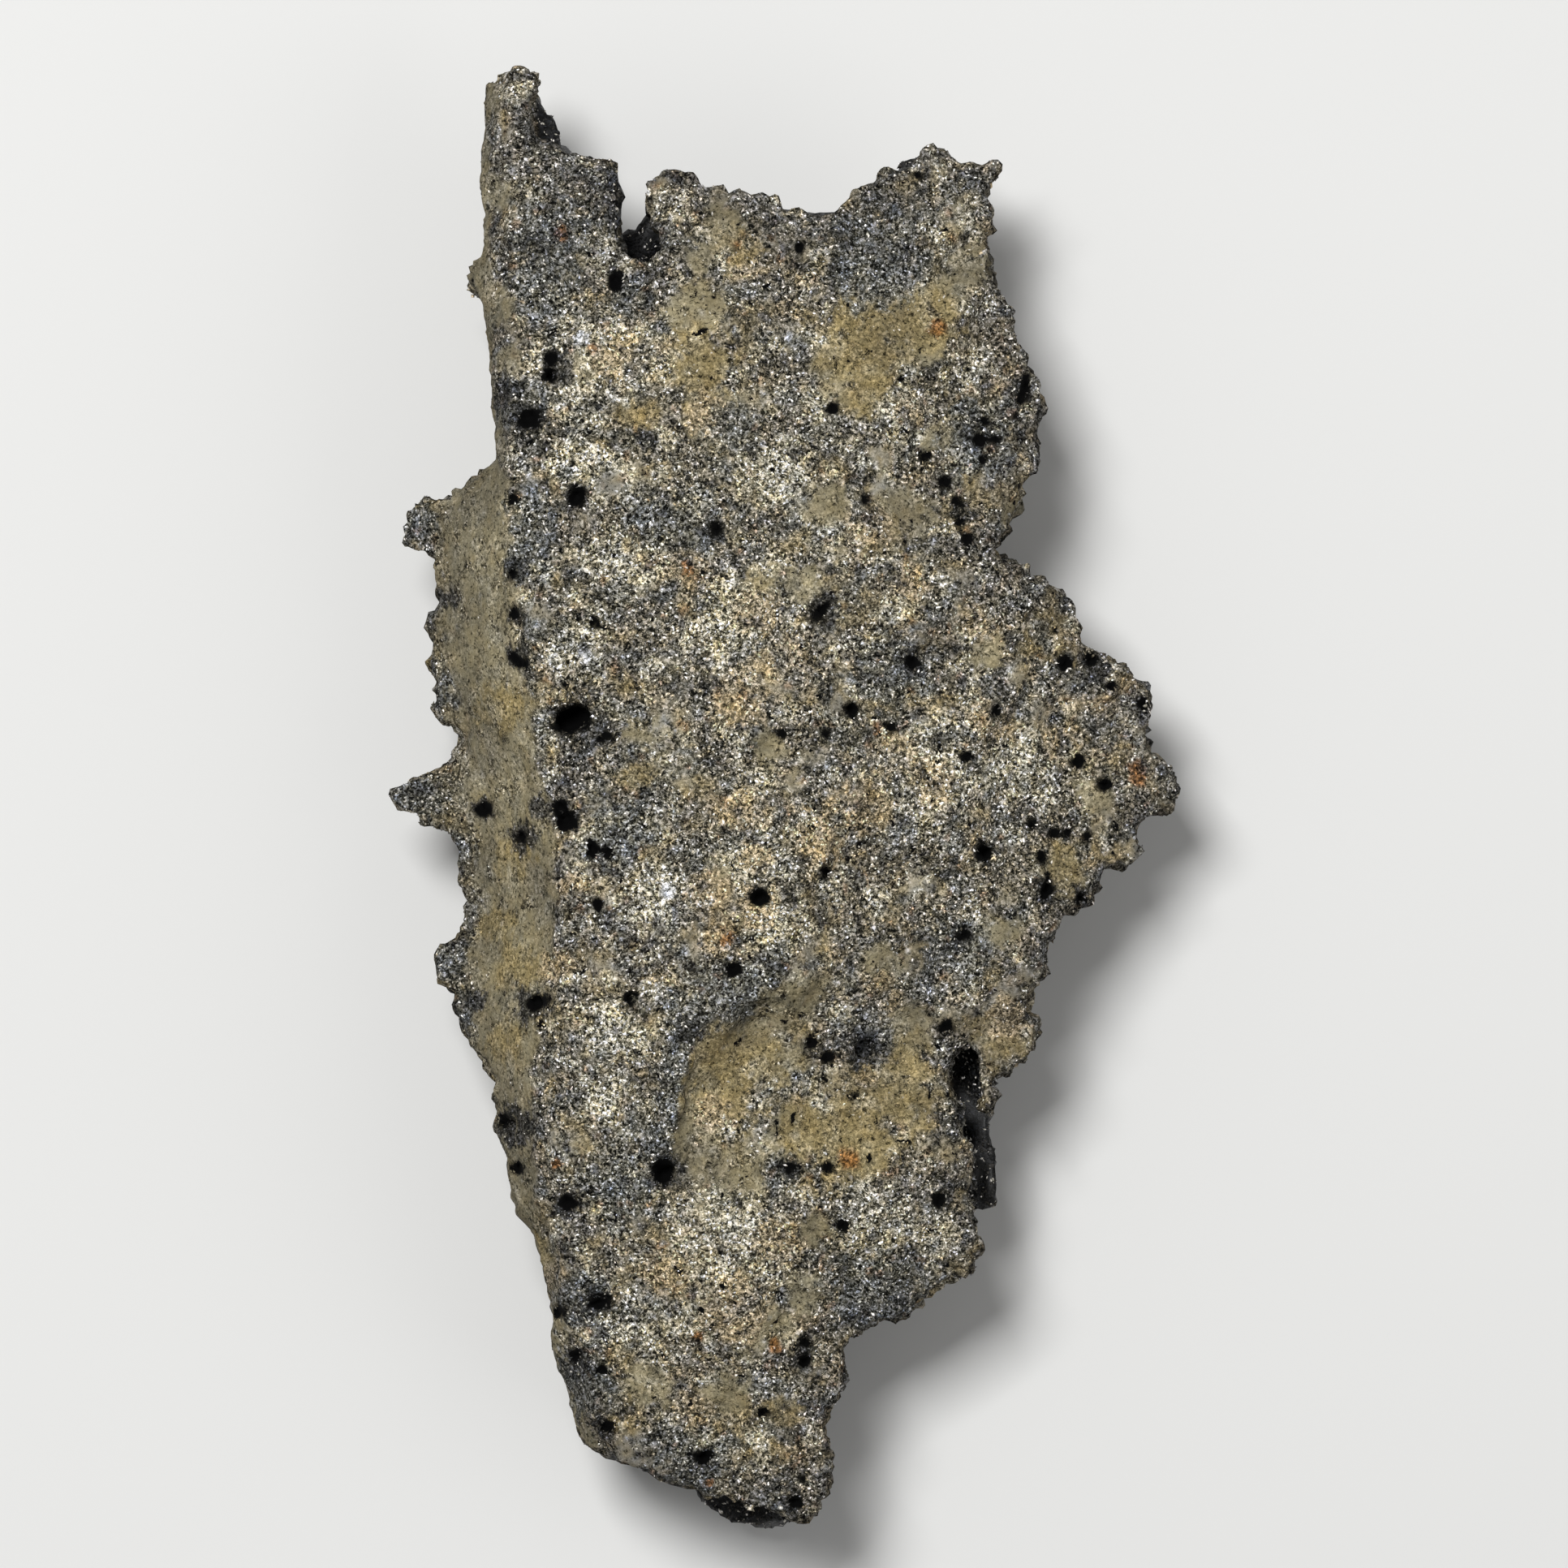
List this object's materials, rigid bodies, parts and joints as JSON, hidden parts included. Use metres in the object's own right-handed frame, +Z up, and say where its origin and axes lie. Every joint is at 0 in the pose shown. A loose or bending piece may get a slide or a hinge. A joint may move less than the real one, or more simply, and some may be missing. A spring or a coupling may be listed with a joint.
{
  "type": "fulgurite",
  "caption": "Flattened, hollow, winged length of sand fulgurite with a sharp side ridge, side spurs, gas pits and broken open ends, lying on its back.",
  "frame": {"origin": "centre of the bounding box at the floor it rests on", "axes": "+Y along the tube towards the horn, +X towards the thin wing, +Z up out of the pitted face"},
  "size_m": [0.0486, 0.0902, 0.0197],
  "materials": {
    "fused_sand": "rough crust of fused grey, cream and tan sand grains with dark glassy gas pits"
  },
  "bodies": {
    "root": {"fulgurite": "fused_sand"}
  },
  "joints": []
}
